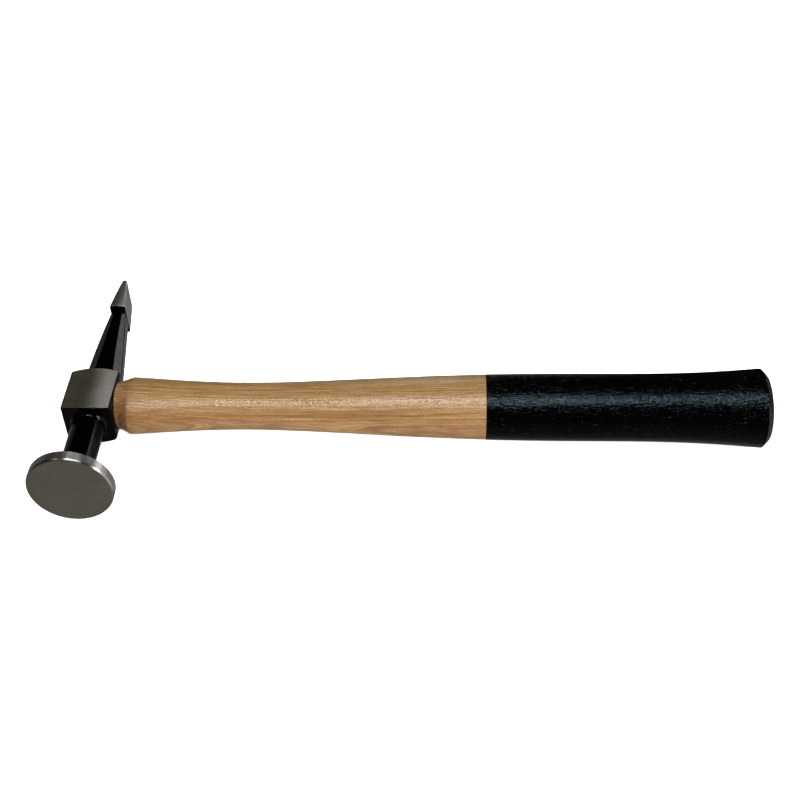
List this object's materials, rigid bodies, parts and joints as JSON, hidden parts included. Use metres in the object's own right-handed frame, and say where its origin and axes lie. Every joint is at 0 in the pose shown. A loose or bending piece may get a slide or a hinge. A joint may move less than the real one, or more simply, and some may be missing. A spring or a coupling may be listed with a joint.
{
  "type": "body hammer",
  "caption": "Panel-beating hammer with a round flat face, a tapered cross peen and an oval wooden handle with a dipped black grip.",
  "frame": {"origin": "centre of the round striking face", "axes": "+Y runs along the head from the striking face to the cross peen, +X runs along the handle from the eye to the butt, and +Z comes out of the upper cheek of the eye block"},
  "size_m": [0.3494, 0.1474, 0.0408],
  "materials": {
    "black_enamelled_steel": "gloss",
    "varnished_hickory": "satin",
    "wedge_wood": "matte",
    "wedge_steel": "satin"
  },
  "bodies": {
    "root": {"head": "black_enamelled_steel", "handle": "varnished_hickory", "wood_wedge": "wedge_wood", "steel_wedge_1": "wedge_steel", "steel_wedge_2": "wedge_steel"}
  },
  "joints": []
}
